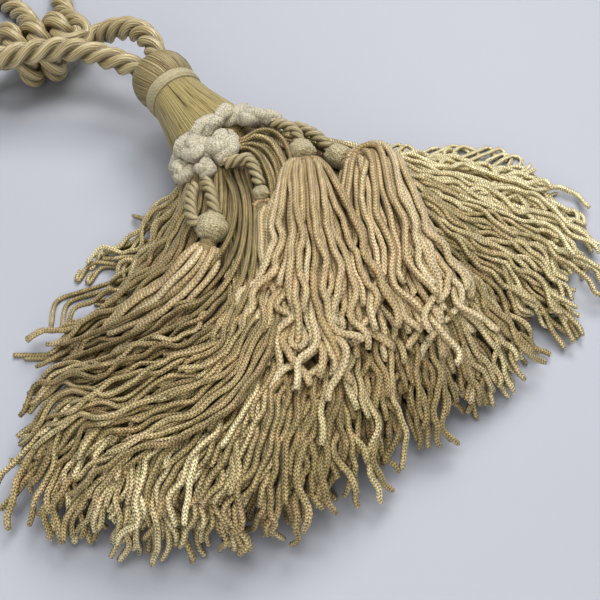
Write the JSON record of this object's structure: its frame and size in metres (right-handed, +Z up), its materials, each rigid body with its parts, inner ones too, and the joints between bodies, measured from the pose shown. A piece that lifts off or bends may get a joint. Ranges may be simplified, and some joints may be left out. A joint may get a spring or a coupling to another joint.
{
  "type": "curtain tieback tassel",
  "caption": "Curtain tieback tassel lying on its side: a thread-wound head with a collar, a fanned chainette skirt with small hanging tassels, and a thick twisted rope with a knot and loop.",
  "frame": {"origin": "on the table under the middle of the tassel's bounding box, without its rope", "axes": "+Z up from the table, +Y along the head from the skirt towards the rope, +X across the fan"},
  "size_m": [0.2808, 0.4723, 0.057],
  "materials": {
    "dome_thread": "wound thread, dull sheen",
    "collar_braid": "narrow woven braid",
    "cone_thread": "lengthwise satin thread",
    "boucle_cord": "fluffy boucle cord",
    "hanger_cord": "fine twisted satin cord",
    "skirt_chainette": "knitted chainette, soft sheen",
    "small_chainette": "knitted chainette, soft sheen",
    "satin_rope": "three-ply satin rope"
  },
  "bodies": {
    "root": {"head_collar": "collar_braid", "head_cone": "cone_thread", "head_dome": "dome_thread", "knob_front": "boucle_cord", "knob_left": "boucle_cord", "knob_low": "boucle_cord", "knob_side": "boucle_cord", "main_skirt": "skirt_chainette", "rope_knot": "satin_rope", "rope_leg_back": "satin_rope", "rope_leg_front": "satin_rope", "rope_loop": "satin_rope", "ruff_cord": "boucle_cord", "swag_cord": "boucle_cord", "tassel_a_ball": "hanger_cord", "tassel_a_cord": "hanger_cord", "tassel_a_neck": "hanger_cord", "tassel_a_skirt": "small_chainette", "tassel_b_ball": "hanger_cord", "tassel_b_cord": "hanger_cord", "tassel_b_neck": "hanger_cord", "tassel_b_skirt": "small_chainette", "tassel_c_ball": "hanger_cord", "tassel_c_cord": "hanger_cord", "tassel_c_loop": "hanger_cord", "tassel_c_neck": "hanger_cord", "tassel_c_skirt": "small_chainette", "tassel_d_ball": "hanger_cord", "tassel_d_cord": "hanger_cord", "tassel_d_neck": "hanger_cord", "tassel_d_skirt": "small_chainette"}
  },
  "joints": []
}
